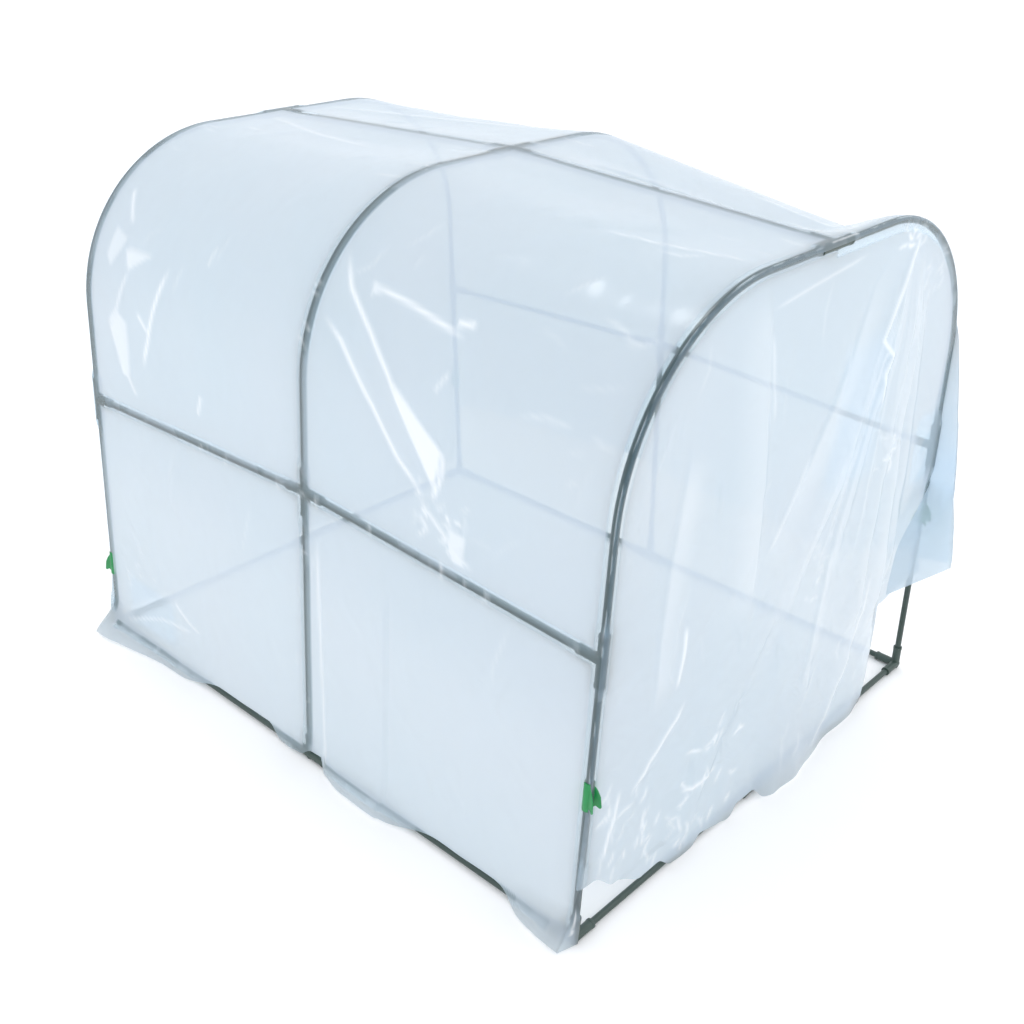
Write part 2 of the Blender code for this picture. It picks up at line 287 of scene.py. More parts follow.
def socket_profile(reach, radius):
    """From the closed end behind the centre, out to the rolled rim of the mouth, and back down the bore."""
    rim = RIM_RADIUS - SOCKET_RADIUS + radius
    edge, back = 0.0006, -0.8 * radius
    return [
        (back, 0.0),
        (back, radius - 0.0022),
        (back + 0.0007, radius - 0.0007),
        (back + 0.0022, radius),
        (reach - RIM_LENGTH - edge, radius),
        (reach - RIM_LENGTH, rim),
        (reach - edge, rim),
        (reach, rim - edge),
        (reach, BORE_RADIUS + edge / 2),
        (reach - edge, BORE_RADIUS),
        (BORE_STOP, BORE_RADIUS),
        (BORE_STOP, 0.0),
    ]


def fitting(material, name, centre, neighbours, reach=SOCKET_REACH, foot=False):
    """A moulded fitting with a rimmed socket towards each neighbouring point."""
    directions = [(point - centre).normalized() for point in neighbours]
    slimmer = 0.00005
    whole, *others = [
        turned(socket_profile(reach, SOCKET_RADIUS - slimmer * index), way, name, material)
        for index, way in enumerate(directions)
    ]
    if foot:
        pad = [(0.0, 0.0), (0.0, FOOT_RADIUS), (AXIS_HEIGHT - 0.0005, FOOT_RADIUS)]
        pad += [(AXIS_HEIGHT - 0.0001, FOOT_RADIUS - 0.0004), (AXIS_HEIGHT - 0.0001, 0.0)]
        others.append(turned(pad, Vector((0, 0, -1)), name, material))
    for other in others:
        join(whole, other)
    whole.name = f"{name}_fitting"
    whole.data.shade_smooth()
    whole.data.set_sharp_from_angle(angle=SHARP)
    whole.location = centre
    settle(whole, "frame", name)


def build_fittings(material):
    left, right = Vector((-1, 0, 0)), Vector((1, 0, 0))
    for end in OUTER_ENDS:
        for side in SIDE_SIGNS:
            foot, tee = ground_point(side, end), tee_point(side, end)
            ways = [coupler_point(end), ground_point(side, "middle"), tee]
            fitting(material, f"corner_{end}_{side}", foot, ways, foot=True)
            ways = [2 * tee - foot, foot, tee_point(side, "middle")]
            fitting(material, f"tee_{end}_{side}", tee, ways)
        centre = coupler_point(end)
        ways = [centre + left, centre + right]
        fitting(material, f"coupler_{end}", centre, ways, COUPLER_REACH, foot=True)
        centre = ridge_point(end)
        ways = [centre + left, centre + right, ridge_point("middle")]
        fitting(material, f"ridge_tee_{end}", centre, ways)
    for side in SIDE_SIGNS:
        foot, tee = ground_point(side, "middle"), tee_point(side, "middle")
        ways = [ground_point(side, "front"), ground_point(side, "back"), tee]
        fitting(material, f"ground_tee_{side}", foot, ways, foot=True)
        up = Vector((-SIDE_SIGNS[side] * math.sin(LEAN), 0, math.cos(LEAN)))
        ways = [tee + up, foot, tee_point(side, "front"), tee_point(side, "back")]
        fitting(material, f"cross_{side}", tee, ways)
    centre = ridge_point("middle")
    ways = [centre + left, centre + right, ridge_point("front"), ridge_point("back")]
    fitting(material, "ridge_cross", centre, ways)


# Film clips


def arc_points(radius, start, stop, steps, z):
    turns = [start + (stop - start) * step / steps for step in range(steps + 1)]
    return [Vector((radius * math.cos(turn), radius * math.sin(turn), z)) for turn in turns]


def plate(outline, push, name, material):
    """A flat plate with this outline, as thick as push."""
    form = bmesh.new()
    face = form.faces.new([form.verts.new(point) for point in outline])
    pushed = bmesh.ops.extrude_face_region(form, geom=[face])["geom"]
    corners = [item for item in pushed if isinstance(item, bmesh.types.BMVert)]
    bmesh.ops.translate(form, verts=corners, vec=push)
    return add_object(name, finished_mesh(form, name), material)


def sleeve_mesh():
    """The split sleeve of a clip, about Z, open towards +X."""
    form = bmesh.new()
    steps, start, stop = 40, CLIP_OPENING / 2, math.tau - CLIP_OPENING / 2
    rings = []
    for radius, z in (
        (CLIP_BORE, -CLIP_LENGTH / 2),
        (CLIP_BORE + CLIP_WALL, -CLIP_LENGTH / 2),
        (CLIP_BORE + CLIP_WALL, CLIP_LENGTH / 2),
        (CLIP_BORE, CLIP_LENGTH / 2),
    ):
        rings.append([form.verts.new(p) for p in arc_points(radius, start, stop, steps, z)])
    for first, second in zip(rings, rings[1:] + rings[:1]):
        for step in range(steps):
            form.faces.new((first[step], first[step + 1], second[step + 1], second[step]))
    for tip in (0, -1):
        form.faces.new([ring[tip] for ring in rings])
    return finished_mesh(form, "sleeve")


def lobe_outline():
    """One finger lobe: (distance from the lip, height) points, rounded at its free corner."""
    length, height = 0.0125, CLIP_LENGTH
    points = [(-0.0006, 0.4 * height), (0.45 * length, 0.22 * height), (0.85 * length, 0.0)]
    corner_away, corner_height, radius = 0.8 * length, -0.34 * height, 0.003
    for step in range(9):
        turn = math.radians(20 - 110 * step / 8)
        points.append((corner_away + radius * math.cos(turn), corner_height + radius * math.sin(turn)))
    points += [(0.35 * length, -0.33 * height), (-0.0006, -0.42 * height)]
    return points


def clip_mesh(material):
    """A clip about Z: a split sleeve with two flared finger lobes beside its opening."""
    clip = add_object("clip", sleeve_mesh(), material)
    flare, thickness = math.radians(24), 0.0015
    for sign in (-1, 1):
        root = CLIP_BORE + CLIP_WALL / 2
        lip = Vector((math.cos(CLIP_OPENING / 2), sign * math.sin(CLIP_OPENING / 2), 0)) * root
        out = Vector((math.cos(flare), sign * math.sin(flare), 0))
        across = out.cross(Vector((0, 0, 1))) * thickness
        spots = [lip + out * away + Vector((0, 0, z)) - across / 2 for away, z in lobe_outline()]
        join(clip, plate(spots, across, "lobe", material))
    bevel = clip.modifiers.new("edges", "BEVEL")
    bevel.width = 0.0003
    bevel.segments = 2
    bevel.limit_method = "ANGLE"
    bevel.angle_limit = math.radians(35)
    mesh = modified_mesh(clip)
    bpy.data.objects.remove(clip)
    mesh.shade_smooth()
    mesh.set_sharp_from_angle(angle=math.radians(50))
    return mesh


def build_clips(material):
    mesh = clip_mesh(material)
    for end, face in OUTER_ENDS.items():
        for side in SIDE_SIGNS:
            node = f"clip_{end}_{side}"
            foot, tee = ground_point(side, end), tee_point(side, end)
            along = (tee - foot).normalized()
            opening = Vector((0, face, 0))
            turn = Matrix((opening, along.cross(opening), along)).transposed().to_4x4()
            height = centre_of(node).z - AXIS_HEIGHT
            clip = add_object(f"{node}_sleeve", mesh, material)
            clip.matrix_world = Matrix.Translation(foot + along * (height / along.z)) @ turn
            settle(clip, node, node)


# Reliefs: a sheet's height off its taut shape, and how white it is, from creases and painted highlights, over
# two flat coordinates


def smooth(t):
    t = np.clip(t, 0, 1)
    return t * t * (3 - 2 * t)


def bump_at(value, spot, radius):
    """1 at the spot, falling to 0 about one radius away."""
    return np.exp(-(((value - spot) / radius) ** 2))


def window(value, spot, half, edge):
    """1 near the spot, falling to 0 at half a width from it over the width of the edge."""
    return smooth((half - np.abs(value - spot)) / edge)


def along_path(x, points):
    """Smooth interpolation through (x, value) points."""
    xs, values = (np.array(column) for column in zip(*points))
    index = np.clip(np.searchsorted(xs, x) - 1, 0, len(xs) - 2)
    t = (x - xs[index]) / (xs[index + 1] - xs[index])
    return values[index] + (values[index + 1] - values[index]) * smooth(t)


def wander(u, v, rng, scale, octaves=3):
    """A smooth random field of about -1 to 1: sines in random directions, each bending the next."""
    total, warp, weight = np.zeros_like(u), np.zeros_like(u), 0.0
    for octave in range(octaves):
        share = 0.55**octave
        for _ in range(4):
            angle, phase = rng.uniform(0, math.tau, 2)
            size = scale / 1.7**octave * rng.uniform(0.8, 1.3)
            way = (u * math.cos(angle) + v * math.sin(angle)) * math.tau / size
            wave = np.sin(way + phase + 1.3 * warp)
            total += wave * share
            warp = 0.6 * warp + wave
            weight += share
    return total * 1.6 / weight


def line_distance(u, v, points):
    """Distance from a line through points, the side it is on, and the nearest place along it, 0 to 1."""
    nearest = np.full_like(u, 9.0)
    side, place = np.zeros_like(u), np.zeros_like(u)
    spans = [math.dist(start, end) for start, end in zip(points, points[1:])]
    done = 0.0
    for start, end, span in zip(points, points[1:], spans):
        du, dv = (end[0] - start[0]) / span, (end[1] - start[1]) / span
        t = np.clip((u - start[0]) * du + (v - start[1]) * dv, 0, span)
        away = np.hypot(u - start[0] - t * du, v - start[1] - t * dv)
        across = (u - start[0]) * dv - (v - start[1]) * du
        closer = away < nearest
        nearest = np.where(closer, away, nearest)
        side = np.where(closer, across, side)
        place = np.where(closer, (done + t) / sum(spans), place)
        done += span
    return nearest, side, place


class Relief:
    def __init__(self, u, v, seed):
        self.u, self.v = u, v
        self.height, self.white = np.zeros_like(u), np.zeros_like(u)
        self.rng = np.random.default_rng(seed)

    def sway(self, amount, scale, share=1.0):
        """Soft random slack."""
        self.height += amount * wander(self.u, self.v, self.rng, scale) * share

    def whiten(self, amount):
        self.white = np.maximum(self.white, amount)

    def near_line(self, points, taper):
        """Distance from a line, the side it is on, and a share that tapers off towards the line's ends."""
        away, side, place = line_distance(self.u, self.v, points)
        return away, side, smooth(place / taper) * smooth((1 - place) / taper)

    def crease(self, points, height=0.0025, width=0.01, white=0.8, glint=0.004, taper=0.2):
        """A crisp ridge, or with a negative height a valley, with a white line along it: partly the whitening
        of creased film, partly a painted highlight.
        """
        away, _, fade = self.near_line(points, taper)
        self.height += height * fade * np.exp(-away / width)
        self.whiten(white * fade * np.exp(-((away / glint) ** 2)))

    def pleat(self, points, spread, height=0.005, white=0.25, taper=0.15):
        """A fold with one crisp edge along the points, whiter over its width and along its edge: partly film
        lying over itself, partly a painted highlight. A positive spread lies to the right of their way.
        """
        away, side, fade = self.near_line(points, taper)
        within = side * spread > 0
        inner = smooth(1 - away / abs(spread))
        self.height += height * fade * np.where(within, inner, smooth(1 - away / 0.014))
        self.whiten(white * fade * np.where(within, inner, smooth(1 - away / 0.006)))

    def facet(self, corners, white=0.4, height=0.001):
        """A flat patch with these convex corners, raised by the height, with a painted highlight over it."""
        inside = np.full_like(self.u, 9.0)
        loop = list(zip(corners, corners[1:] + corners[:1]))
        turn = math.copysign(1, sum(a[0] * b[1] - b[0] * a[1] for a, b in loop))
        for start, end in loop:
            du, dv = end[0] - start[0], end[1] - start[1]
            across = (self.v - start[1]) * du - (self.u - start[0]) * dv
            inside = np.minimum(inside, turn * across / math.hypot(du, dv))
        share = np.clip(inside / 0.006 + 0.5, 0, 1)
        self.height += height * share
        self.whiten(white * share)

    def scatter(self, region, count, lengths, height, white, angle=0.0, spread=3.0):
        """Short creases at random places in a box of (u0, v0, u1, v1), lying mostly along one angle."""
        for _ in range(count):
            u, v = self.rng.uniform(region[:2], region[2:])
            turn = angle + self.rng.normal(0, spread)
            half = self.rng.uniform(*lengths) / 2
            du, dv = half * math.cos(turn), half * math.sin(turn)
            bend = self.rng.uniform(-0.35, 0.35)
            middle = (u - bend * dv, v + bend * du)
            tall = height * self.rng.uniform(0.4, 1.0) * self.rng.choice([-1, 1])
            bright = white * self.rng.uniform(0.2, 1.0)
            self.crease([(u - du, v - dv), middle, (u + du, v + dv)], tall, 0.008, bright, 0.0035, 0.4)


# Film cover

FILM_HUG = TUBE_RADIUS + 0.0003
SOCKET_HUG = RIM_RADIUS + 0.0004
COVER_STEP = 0.0058
HEM_STEP = 0.0022  # the finer step beside the left hem, for this far
HEM_STRIP = 0.032
CURTAIN_STEP = 0.0042
CONTACT_HALF = 0.0125
CONTACT_EDGE = 0.0045
CONTACT_CLOSE = 0.78
CONTACT_LOST = 0.36
ROOF_SAG = 0.0085
HOLLOW_DEPTH = 0.05
NEAR_END = 0.5  # a place at least this far along the tunnel belongs to an end hoop
WRAP_STEPS = 14
WRAP_TURN = math.radians(86)
RIGHT_HEM = 0.2
LEFT_HEM = 0.0035


def grid_mesh(points, white, touch, name):
    """A single sheet over an array of points (rows, columns, 3).

    Its attributes say how white it is, from creases and painted highlights, and where it lies on a tube,
    which shows through clearly.
    """
    rows, columns = points.shape[:2]
    mesh = bpy.data.meshes.new(name)
    corner = np.arange((rows - 1) * columns).reshape(rows - 1, columns)[:, :-1].ravel()
    faces = np.stack([corner, corner + 1, corner + columns + 1, corner + columns], 1)
    mesh.from_pydata(points.reshape(-1, 3).tolist(), [], faces.tolist())
    for key, values in (("white", white), ("touch", touch)):
        mesh.attributes.new(key, "FLOAT", "POINT").data.foreach_set("value", values.ravel())
    mesh.shade_smooth()
    return mesh


def contact(u, v, seed):
    """How closely the film lies on the tubes under it: mostly close, and lifted a little in stretches."""
    lifted = wander(u, v, np.random.default_rng(seed), 0.3, 2)
    return CONTACT_CLOSE - CONTACT_LOST * smooth((lifted - 0.05) / 0.18)


def on_tubes(y, along, flare):
    """1 where the cover lies over a tube or fitting, as it looks from above and in front, and 0 elsewhere."""
    crown = 1 - smooth((along - 0.06) / 0.14)
    # From there, the contact shows a few millimetres off each tube's axis
    at_hoop = np.minimum(np.abs(y + 0.004), np.minimum(np.abs(y - BAY + 0.004), np.abs(y + BAY + 0.002)))
    away = np.minimum(at_hoop + 0.003 * crown, np.abs(along - TEE_AT + 0.004) + 0.001)
    away = np.minimum(away, np.minimum(along, np.abs(along - GROUND_AT + 0.005 + 0.72 * flare) + 0.002))
    covered = smooth((CONTACT_HALF + 0.004 * near_socket(y, along) - away) / CONTACT_EDGE)
    covered = covered * np.where(BAY - np.abs(y) < 0.03, 1 - smooth(flare / 0.012), 1)
    covered = covered * (1 - 0.5 * veiled_foot(along) * (y < -NEAR_END))
    # The film is looser at the crown: most of all on the middle hoop and the back ridge rail
    loose = np.where(y < NEAR_END, 0.45, 0.0) + 0.25 * window(y, 0, 0.12, 0.08) * (along > 0.02)
    loose = loose + 0.2 * smooth((y - 0.04) / 0.1) * (y < NEAR_END)
    return covered * (1 + 0.25 * smooth((y - NEAR_END) / 0.05)) * (1 - loose * crown)


def veiled_foot(along):
    """1 at the foot of the front left leg, where the film hangs off it, and 0 higher up."""
    return smooth((along - GROUND_AT + 0.2) / 0.07)


def near_socket(y, along):
    """1 over the fittings of the hoops, and 0 away from them."""
    at_hoop = np.zeros_like(y)
    for hoop_y in ENDS.values():
        at_hoop = np.maximum(at_hoop, bump_at(y, hoop_y, 0.013))
    over = np.zeros_like(y)
    for spot in (0.0, TEE_AT, GROUND_AT):
        over = np.maximum(over, at_hoop * window(along, spot, 0.062, 0.02))
        for hoop_y in ENDS.values():
            reach = window(y, hoop_y, 0.062, 0.02)
            over = np.maximum(over, bump_at(along, spot, 0.013) * reach)
    return over


def cover_slack(y, q):
    """The sag of the roof and the looseness of the panels, at y and a signed distance q from the ridge."""
    relief = Relief(y, q, 7)
    along = np.abs(q)
    t = np.abs(y) / BAY
    bay = np.clip(4 * t * (1 - t), 0, 1)
    roof = smooth(along / 0.1) * (1 - 0.55 * smooth((along - 0.22) / 0.2))
    roof *= 1 - smooth((along - TEE_AT + 0.16) / 0.16)
    relief.height -= ROOF_SAG * bay * roof
    relief.sway(0.002, 0.5, bay * roof)
    # The right half of the front bay hangs in a deep hollow just behind the front hoop
    hollow = smooth(q / 0.11) * (1 - smooth((q - 0.3) / 0.26))
    forward = np.clip(-y / BAY, 0, 1)
    relief.height -= HOLLOW_DEPTH * hollow * forward**1.4 * smooth((1 - forward) / 0.2)
    low = smooth((along - TEE_AT) / 0.07)
    relief.height += 0.0035 * low * bay
    relief.sway(0.0026, 0.42, low * bay)
    relief.sway(0.0006, 0.2, np.sqrt(bay))
    return relief.height


def left_relief(y, v):
    """The creases of the left side, at y and at a distance v down from the ridge."""
    relief = Relief(y, v, 11)
    # Two long creases run from the middle hoop's shoulder down to a crumple on the front side rail
    relief.crease([(-0.02, 0.385), (-0.065, 0.44), (-0.13, 0.487), (-0.18, 0.53), (-0.26, 0.62)], 0.003)
    relief.facet([(-0.185, 0.533), (-0.3, 0.605), (-0.285, 0.665), (-0.25, 0.62)], 0.75, 0.001)
    relief.crease([(-0.02, 0.485), (-0.075, 0.516), (-0.155, 0.586), (-0.21, 0.647), (-0.28, 0.692)], -0.0025)
    relief.crease([(-0.302, 0.6), (-0.3, 0.64), (-0.283, 0.685)], 0.002)
    relief.crease([(-0.255, 0.685), (-0.31, 0.722), (-0.372, 0.758)], 0.003, white=0.6)
    relief.facet([(-0.318, 0.708), (-0.352, 0.712), (-0.352, 0.757), (-0.328, 0.757)], 0.55)
    relief.scatter((-0.35, 0.66, -0.245, 0.755), 26, (0.012, 0.045), 0.0018, 0.75)
    relief.crease([(-0.09, 0.423), (-0.185, 0.43), (-0.3, 0.446)], 0.0022, white=0.75)
    relief.facet([(-0.098, 0.418), (-0.135, 0.426), (-0.105, 0.438)], 0.5)
    relief.crease([(-0.268, 0.43), (-0.305, 0.423)], 0.0012, glint=0.005)
    relief.crease([(-0.268, 0.53), (-0.29, 0.493)], 0.0012, white=0.4)
    # Facets with painted highlights in front of the back hoop's left shoulder
    relief.crease([(0.55, 0.38), (0.5, 0.447)], 0.002, white=0.6)
    relief.facet([(0.541, 0.455), (0.497, 0.471), (0.508, 0.487), (0.523, 0.537), (0.548, 0.505)], 0.38)
    relief.facet([(0.497, 0.488), (0.42, 0.488), (0.48, 0.521)], 0.5)
    relief.crease([(0.498, 0.487), (0.415, 0.488)], 0.0015, white=0.6, glint=0.003)
    relief.crease([(0.475, 0.515), (0.504, 0.592), (0.54, 0.632)], 0.002, white=0.5)
    relief.facet([(0.505, 0.594), (0.478, 0.613), (0.477, 0.71), (0.499, 0.711), (0.53, 0.63)], 0.5)
    relief.crease([(0.362, 0.492), (0.39, 0.565), (0.41, 0.622), (0.436, 0.69)])
    relief.crease([(0.445, 0.586), (0.408, 0.619)], 0.0012, white=0.6)
    relief.crease([(0.49, 0.7), (0.458, 0.744)], 0.0012, white=0.5)
    relief.crease([(0.264, 0.69), (0.276, 0.732)], 0.001, white=0.6)
    relief.crease([(0.262, 0.44), (0.27, 0.48)], 0.0008, white=0.3)
    # Low down by the back corner, and a few fine lines elsewhere
    relief.crease([(0.57, 1.238), (0.42, 1.178), (0.305, 1.163)], 0.0025, white=0.5)
    relief.crease([(0.385, 1.118), (0.333, 1.148), (0.297, 1.16)], 0.002, white=0.55)
    relief.scatter((0.44, 1.09, 0.56, 1.15), 8, (0.015, 0.05), 0.0014, 0.5)
    relief.scatter((-0.56, 0.3, 0.56, 0.74), 12, (0.03, 0.12), 0.0008, 0.2, 1.1, 0.5)
    relief.scatter((-0.57, 0.36, -0.42, 0.56), 8, (0.04, 0.1), 0.0012, 0.35, 0.1, 0.3)
    relief.scatter((-0.56, 0.82, 0.56, 1.2), 14, (0.05, 0.2), 0.0008, 0.2, 1.4, 0.3)
    # Fine creases that cross the tubes
    relief.scatter((-0.58, TEE_AT - 0.004, 0.58, TEE_AT + 0.004), 16, (0.02, 0.035), 0.0, 0.7, 1.2, 0.4)
    relief.scatter((-0.004, 0.15, 0.004, 1.2), 10, (0.02, 0.035), 0.0, 0.7, 0.5, 0.5)
    # Painted light: the left side is a little whiter below the side rail
    relief.whiten(0.1 * smooth((v - TEE_AT - 0.05) / 0.15))
    # The film steps outwards just in front of the middle leg, with a painted highlight along the step
    step_at = -0.03 - 0.02 * np.clip((v - TEE_AT) / 0.45, 0, 1)
    lower = smooth((v - TEE_AT - 0.05) / 0.08) * (y > -0.2)
    relief.height += 0.003 * smooth((step_at - y) / 0.01) * lower
    relief.whiten(0.45 * bump_at(y, step_at, 0.005) * lower)
    return relief


def right_relief(y, v):
    """The right side hangs free below the side rails."""
    relief = Relief(y, v, 23)
    low = smooth((v - TEE_AT) / 0.28)
    relief.height += 0.01 * low
    relief.sway(0.0055, 0.34, low)
    for start in (-0.4, -0.22, 0.1, 0.31, 0.47):
        lean = relief.rng.uniform(-0.05, 0.05)
        points = [(start, TEE_AT + 0.02), (start + lean, TEE_AT + 0.16), (start + 1.5 * lean, TEE_AT + 0.36)]
        relief.pleat(points, 0.05, 0.004, 0.22)
    relief.crease([(-0.34, 0.198), (-0.46, 0.184), (-0.585, 0.165)], 0.002, white=0.45)
    relief.crease([(0.03, 0.41), (0.12, 0.5), (0.2, 0.66)])
    relief.crease([(-0.035, 0.43), (-0.15, 0.52), (-0.21, 0.7)])
    relief.crease([(0.565, 0.45), (0.47, 0.55), (0.44, 0.7)], 0.0025, white=0.6)
    relief.facet([(0.19, 0.64), (0.24, 0.7), (0.215, 0.745), (0.185, 0.7)], 0.5)
    relief.scatter((0.17, 0.66, 0.27, 0.76), 16, (0.012, 0.045), 0.0018, 0.6)
    relief.scatter((-0.57, 0.3, 0.57, 0.74), 22, (0.03, 0.14), 0.0012, 0.35, 1.1, 0.5)
    relief.scatter((-0.57, 0.8, 0.57, 1.04), 16, (0.04, 0.16), 0.0012, 0.3, 1.4, 0.4)
    return relief


def roof_relief(y, q):
    """Fine tension lines on the roof, beside the ridge rails."""
    relief = Relief(y, q, 5)
    relief.crease([(-0.346, -0.195), (-0.46, -0.182), (-0.585, -0.165)], 0.002, white=0.45, glint=0.003)
    relief.crease([(0.56, -0.06), (0.38, -0.1), (0.2, -0.12)], 0.0018, white=0.35)
    relief.crease([(0.59, 0.08), (0.33, 0.15), (0.06, 0.19)], 0.0018, white=0.4)
    for end in (-1, 0, 1):
        for sign in (-1, 1):
            near, far = sorted((sign * 0.05, sign * 0.28))
            box = (end * 0.52 - 0.05, near, end * 0.52 + 0.05, far)
            relief.scatter(box, 4, (0.04, 0.11), 0.001, 0.35, 0.0, 0.25)
    return relief


def hem_height(y, side):
    """How high the lower edge of the cover stands at this place along the tunnel."""
    if side == "right":
        front = smooth((-0.42 - y) / 0.17)
        return RIGHT_HEM + 0.012 * np.sin(7.0 * y + 0.6) + 0.006 * np.sin(19.0 * y) + 0.039 * front
    # On the left, the hem rests on top of the ground rail in two places, and on the ground elsewhere
    points = [(-0.6, 0.0), (-0.51, 0.0), (-0.445, 1.0), (-0.33, 1.0), (-0.215, 0.0), (-0.052, 0.0)]
    points += [(-0.043, 1.1), (-0.014, 1.0), (0.012, 0.3), (0.066, 0.0), (0.108, 1.0), (0.23, 1.0)]
    points += [(0.355, 0.0), (0.6, 0.0)]
    return LEFT_HEM + 0.0215 * along_path(y, points)


def hem_flare(y, z):
    """How far the lowest part of the cover's left side stands out from the ground rail."""
    points = [(-0.6, 0.029), (-0.54, 0.025), (-0.46, 0.004), (-0.29, 0.003), (-0.19, 0.019), (-0.11, 0.018)]
    points += [(-0.05, 0.006), (0.06, 0.004), (0.11, 0.001), (0.26, 0.001), (0.37, 0.014), (0.6, 0.045)]
    return along_path(y, points) * (1 - smooth(z / 0.085)) ** 2.5


def cover_sheet_points():
    """The cover, in rows along Y and columns from the left hem over the ridge to the right hem."""
    left_end, right_end = along_at_height(LEFT_HEM), along_at_height(RIGHT_HEM)
    fine = np.arange(-left_end, HEM_STRIP - left_end, HEM_STEP)
    steps = round((left_end + right_end) / COVER_STEP)
    q_line = np.concatenate([fine, np.linspace(fine[-1], right_end, steps)[1:]])
    y_line = np.linspace(-BAY, BAY, 2 * round(BAY / COVER_STEP) + 1)
    y, q = np.meshgrid(y_line, q_line, indexing="ij")
    for side, sign, last in (("left", -1, left_end), ("right", 1, right_end)):
        share = np.clip((sign * q - TEE_AT) / (last - TEE_AT), 0, 1)
        q = q + sign * share * (along_at_height(hem_height(y, side)) - last)
    along = np.abs(q)
    x, z, nx, nz = hoop_line(along)
    z = z + rise(y) * np.clip((GROUND_AT - along) / (GROUND_AT - TEE_AT), 0, 1)
    left, right, roof = left_relief(y, -q), right_relief(y, q), roof_relief(y, q)
    inner = smooth(np.clip((BAY - np.abs(y)) / 0.03, 0, 1))
    creases = np.where(q < 0, left.height, right.height) + roof.height
    white = np.maximum(np.where(q < 0, left.white, right.white), roof.white)
    relief = cover_slack(y, q) + creases * inner
    taut = bump_at(along, TEE_AT, 0.01) + bump_at(along, 0, 0.01)
    taut += bump_at(y, 0, 0.008) * (along < GROUND_AT - 0.1)
    relief = relief * np.clip(1 - taut, 0, 1)
    relief = np.where(taut > 0.2, np.maximum(relief, 0), relief)
    flare = np.where(q < 0, hem_flare(y, z), 0)
    touch = on_tubes(y, along, flare) * contact(y, q, 3)
    clear_spot = window(y, 0.46, 0.1, 0.05) * window(z, 0.095, 0.065, 0.035) * (q < 0)
    touch = np.maximum(touch, 0.3 * clear_spot)
    relief += flare
    hug = FILM_HUG + (SOCKET_HUG - FILM_HUG) * near_socket(y, along)
    sign = np.sign(q) + (q == 0)
    rows = [np.stack([sign * (x + (hug + relief) * nx), y, z + (hug + relief) * nz], -1)]
    shades, touches = [white], [touch]
    for end, row in ((-1, 0), (1, -1)):
        shape = (q[row], sign[row], (x[row], z[row]), (nx[row], nz[row]), hug[row], relief[row])
        for stack, extra in zip((rows, shades, touches), wrap_rows(end, *shape)):
            stack[:] = [extra[::-1]] + stack if end < 0 else stack + [extra]
    return [np.concatenate(stack) for stack in (rows, shades, touches)]


def flap_share(q, z):
    """How fully the loose flap in front of the front right leg is formed: 0 near its tee, 1 low down."""
    return np.clip((0.72 - z) / 0.45, 0, 1) ** 0.8 * (q > 0)


# The flap's way past the front right leg: (part, outwards from the leg, forwards of the hoop). Its edge comes
# back to the leg high up, and crosses in front of it low down
FLAP_FREE = [(0.0, 0.006, 0.0), (0.28, 0.028, 0.034), (0.48, 0.033, 0.058)]
FLAP_FREE += [(0.75, 0.02, 0.034), (1.0, 0.007, 0.005)]
FLAP_CROSSING = [(0.0, 0.006, 0.0), (0.28, 0.031, 0.056), (0.42, 0.02, 0.066)]
FLAP_CROSSING += [(0.7, -0.062, 0.048), (1.0, -0.15, 0.026)]


def flap_way(part, crossing, column):
    free, across = ([(spot[0], spot[column]) for spot in way] for way in (FLAP_FREE, FLAP_CROSSING))
    return along_path(part, free) * (1 - crossing) + along_path(part, across) * crossing


def wrap_rows(end, q, sign, spot, normal, hug, relief):
    """The cover's edge, turned round an end hoop. On the front right leg it makes a loose flap instead."""
    (x, z), (nx, nz) = spot, normal
    flap = flap_share(q, z) * (end < 0)
    rng = np.random.default_rng(17)
    hoop_glint = np.clip(0.15 + 3.0 * wander(q, q * 0, rng, 0.1), 0, 1)
    close = contact(q, q * 0 + end, 19) * (1 - smooth(flap / 0.12))
    lifted = smooth(hem_flare(end * BAY + q * 0, z) / 0.012)
    close = close * (1 + 0.25 * (end > 0)) * np.where(q < 0, 1 - lifted, 1)
    close = close * (1 - 0.5 * veiled_foot(np.abs(q)) * (end < 0))
    rows, shades, touches = [], [], []
    for step in range(1, WRAP_STEPS + 1):
        part = step / WRAP_STEPS
        turn = WRAP_TURN * part
        away = hug * math.sin(turn)
        out = hug * math.cos(turn) + relief * (1 - part) ** 2
        crossing = smooth((0.42 - z) / 0.09)
        out = out + flap * (flap_way(part, crossing, 1) - hug * math.cos(turn))
        out = out + 0.0025 * flap * math.sin(11 * part)
        away = away + flap * (flap_way(part, crossing, 2) - hug * math.sin(turn))
        place = [sign * (x + out * nx), np.full_like(x, end * BAY) + end * away, z + out * nz * (1 - flap)]
        rows.append(np.stack(place, -1))
        # A painted highlight along the film over the hoop, in stretches
        shades.append(0.85 * hoop_glint * bump_at(part, 0.22 + 0.16 * hoop_glint, 0.12) * (1 - flap))
        touches.append(np.maximum(close, 0.3 * flap))
    return np.array(rows), np.array(shades), np.array(touches)


def build_cover(material):
    sheet = add_object("cover_sheet", grid_mesh(*cover_sheet_points(), "cover_sheet"), material)
    settle(sheet, "frame", "film_cover")


# Curtains

KICK_HEIGHT = 0.2
HEM_ZONE = 0.3  # below this height, the rows close up or spread to follow the hem
EDGE_STEPS = 8
EDGE_TURNS = np.radians(np.linspace(86, 30, EDGE_STEPS))


def arch_distance(x, z):
    """How far a point in an end's plane lies inside the hoop."""
    across = np.maximum(np.abs(x) - ARC_X, 0)
    above = SHOULDER_RADIUS - np.hypot(across, np.maximum(z - ARC_Z, 0))
    line_x = TEE_X + (TEE_Z - z) * math.tan(LEAN)
    below = (line_x - np.abs(x)) * math.cos(LEAN)
    return np.where(z > ARC_Z, above, np.minimum(below, SHOULDER_RADIUS))


